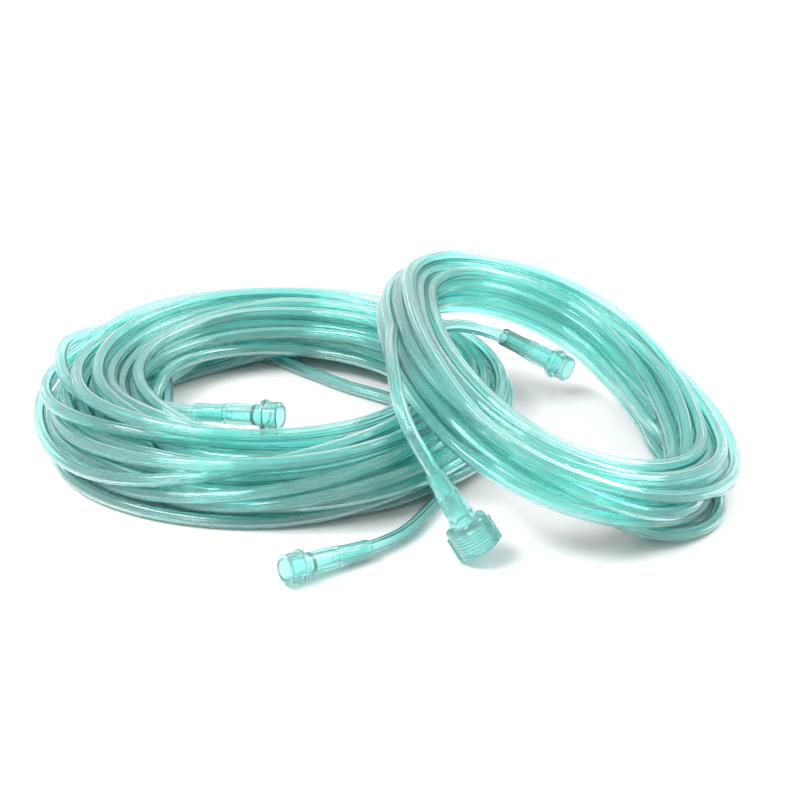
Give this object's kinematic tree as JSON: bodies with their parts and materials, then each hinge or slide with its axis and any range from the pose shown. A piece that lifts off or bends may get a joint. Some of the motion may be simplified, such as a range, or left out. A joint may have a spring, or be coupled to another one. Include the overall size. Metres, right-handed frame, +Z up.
{
  "type": "oxygen supply tubing set",
  "caption": "Long and short soft green-tinted supply hoses wound in loose coils, the short one leaning on the long one, with moulded cuffs and a threaded grip on their ends.",
  "frame": {"origin": "on the floor, under the middle of the box around both coils and their ends", "axes": "+Z up from the floor, +X from the long coil towards the short coil, +Y away from the free ends in front"},
  "size_m": [0.3037, 0.2644, 0.0727],
  "materials": {
    "hose": "soft translucent green-tinted vinyl with fine lengthwise lines",
    "cuff": "moulded soft translucent green-tinted vinyl",
    "threaded_grip": "moulded translucent green-tinted vinyl"
  },
  "bodies": {
    "long_hose": {"long_hose_coil": "hose", "long_hose_front_tail": "hose", "long_hose_inner_tail": "hose", "long_hose_front_cuff": "cuff", "long_hose_inner_cuff": "cuff"},
    "short_hose": {"short_hose_coil": "hose", "short_hose_threaded_tail": "hose", "short_hose_inner_tail": "hose", "short_hose_threaded_grip": "threaded_grip", "short_hose_cuff": "cuff"}
  },
  "joints": [
    {"name": "short_hose_lift", "type": "slide", "parent": "long_hose", "child": "short_hose", "axis": [0, 0, 1], "range_m": [0, 0.25]}
  ]
}
